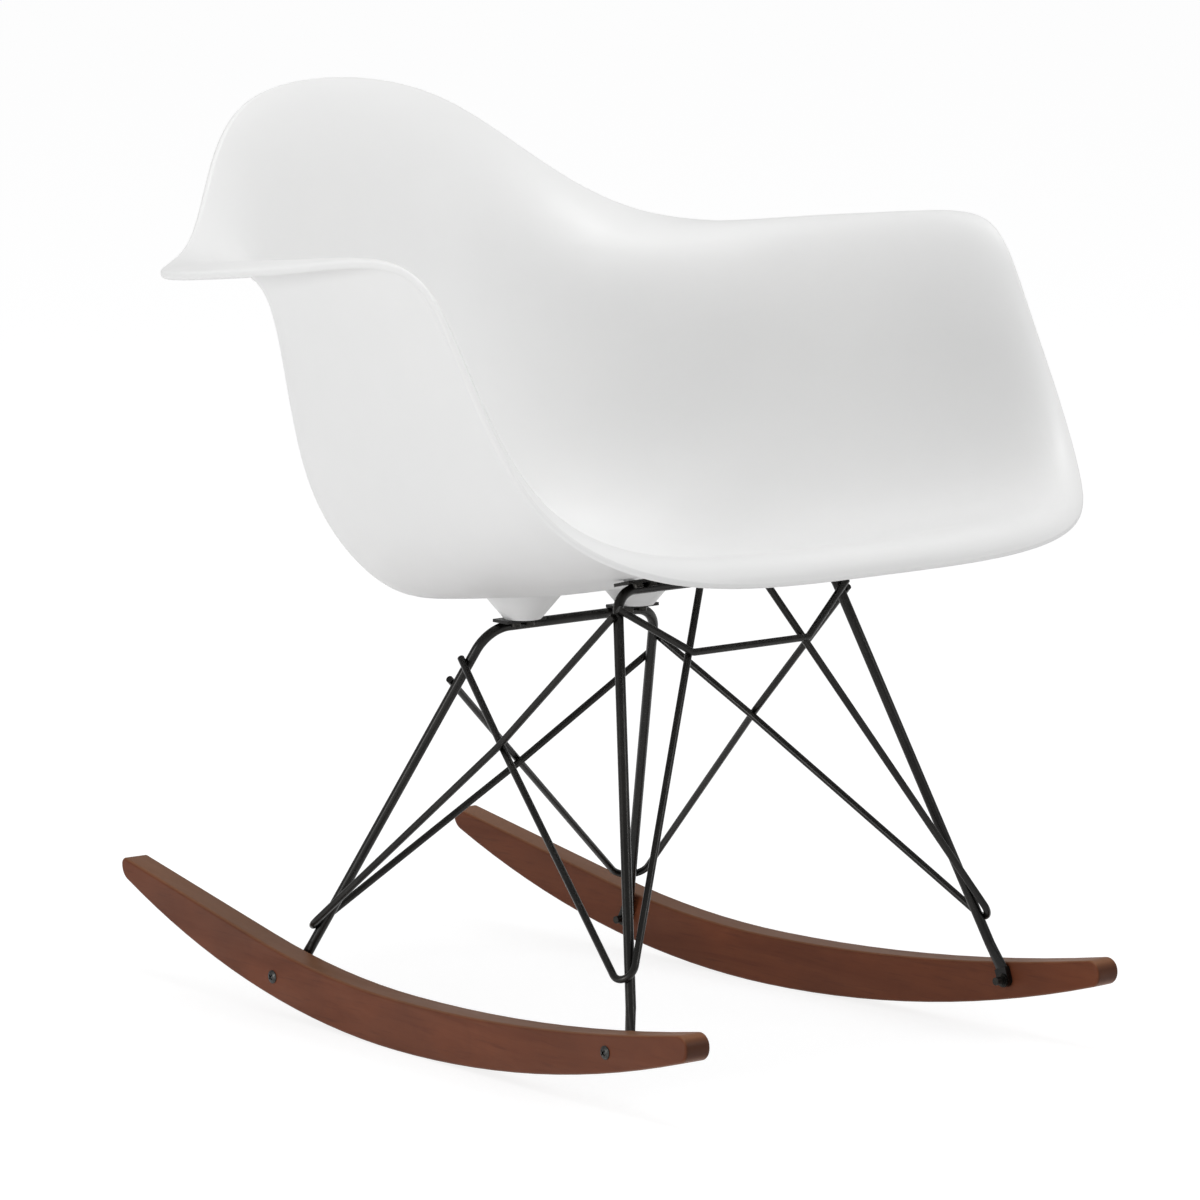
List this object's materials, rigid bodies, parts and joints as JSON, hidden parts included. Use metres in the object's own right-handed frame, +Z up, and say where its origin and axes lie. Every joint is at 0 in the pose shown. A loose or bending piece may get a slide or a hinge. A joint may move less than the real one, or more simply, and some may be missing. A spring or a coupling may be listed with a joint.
{
  "type": "rocking chair",
  "caption": "White moulded bucket armchair on a welded black wire base with two curved walnut-stained wooden runners.",
  "frame": {"origin": "middle of the bounding box, on the floor plane that the runners rest on", "axes": "+Z up, +Y towards the back of the chair (the sitter faces -Y), +X to the right of an onlooker who faces the chair's front"},
  "size_m": [0.6272, 0.702, 0.6854],
  "materials": {
    "shell_plastic": "satin",
    "black_steel": "satin",
    "runner_wood": "satin",
    "grey_fastener": "satin",
    "dark_fastener": "satin",
    "insert_brass": "satin"
  },
  "bodies": {
    "root": {"seat_shell": "shell_plastic", "threaded_inserts_front_left": "insert_brass", "threaded_inserts_front_right": "insert_brass", "threaded_inserts_rear_left": "insert_brass", "threaded_inserts_rear_right": "insert_brass", "shell_bolts_front_left": "dark_fastener", "shell_bolts_front_right": "dark_fastener", "shell_bolts_rear_left": "dark_fastener", "shell_bolts_rear_right": "dark_fastener", "mount_plate_front_left": "black_steel", "mount_plate_front_right": "black_steel", "mount_plate_rear_left": "black_steel", "mount_plate_rear_right": "black_steel", "front_hoop": "black_steel", "rear_hoop": "black_steel", "front_v_brace_left": "black_steel", "front_v_brace_right": "black_steel", "rear_v_brace_left": "black_steel", "rear_v_brace_right": "black_steel", "front_truss_bar": "black_steel", "runner_left": "runner_wood", "runner_right": "runner_wood", "foot_screw_front_left": "grey_fastener", "foot_screw_front_right": "grey_fastener", "foot_screw_rear_left": "grey_fastener", "foot_screw_rear_right": "grey_fastener", "foot_washer_front_left": "dark_fastener", "foot_washer_front_right": "dark_fastener", "foot_washer_rear_left": "dark_fastener", "foot_washer_rear_right": "dark_fastener", "cap_nut_front_left": "dark_fastener", "cap_nut_front_right": "dark_fastener", "cap_nut_rear_left": "dark_fastener", "cap_nut_rear_right": "dark_fastener"}
  },
  "joints": []
}
